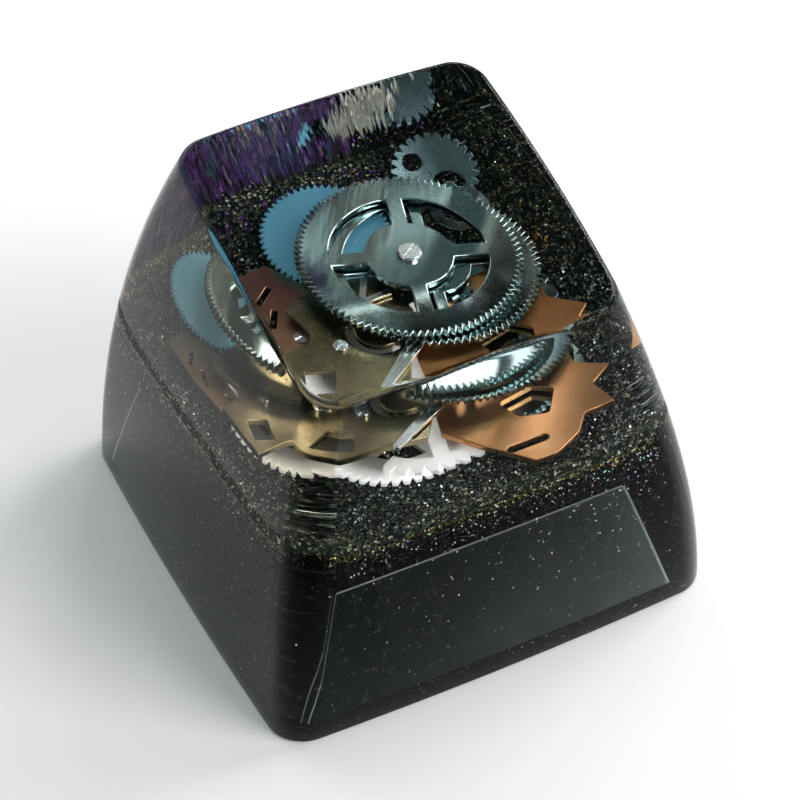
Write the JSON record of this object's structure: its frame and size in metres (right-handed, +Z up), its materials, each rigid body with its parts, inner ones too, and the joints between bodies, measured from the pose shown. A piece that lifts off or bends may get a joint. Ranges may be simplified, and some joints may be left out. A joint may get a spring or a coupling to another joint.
{
  "type": "keycap",
  "caption": "Tall sculpted keycap cast in clear resin over a smoky hollow base, with watch wheels and plates sealed above a bed of granules, and a cross socket for a switch stem.",
  "frame": {"origin": "middle of the skirt's rim, in the plane that the cap stands on", "axes": "+Z up through the top face, -Y to the low front edge of the top face, +X to the right"},
  "size_m": [0.0182, 0.0182, 0.0161],
  "materials": {
    "clear_resin": "clear polished cast resin",
    "granules": "coarse glitter set in resin",
    "smoky_resin": "dark polished cast resin with fine glitter",
    "dark_steel": "brushed steel with bright edges",
    "polished_steel": "polished steel",
    "blued_steel": "satin blued steel",
    "brass_plate": "satin olive brass",
    "rose_metal": "satin rose-gilt metal",
    "copper": "satin copper",
    "bright_silver": "bright matt silver"
  },
  "bodies": {
    "root": {"clear_crown": "clear_resin", "glitter_layer": "granules", "smoky_base": "smoky_resin", "great_wheel": "dark_steel", "second_wheel": "dark_steel", "great_wheel_arbor": "polished_steel", "blue_ratchet_wheel": "blued_steel", "blue_crown_wheel": "blued_steel", "spacer_ring": "polished_steel", "brass_bridge": "brass_plate", "bridge_screws": "polished_steel", "copper_cock": "rose_metal", "copper_plate": "copper", "front_wheel": "bright_silver", "rack_sector": "bright_silver", "click_lever": "polished_steel", "v_spring": "polished_steel", "scalloped_wheel": "dark_steel", "small_pinion": "dark_steel"}
  },
  "joints": []
}
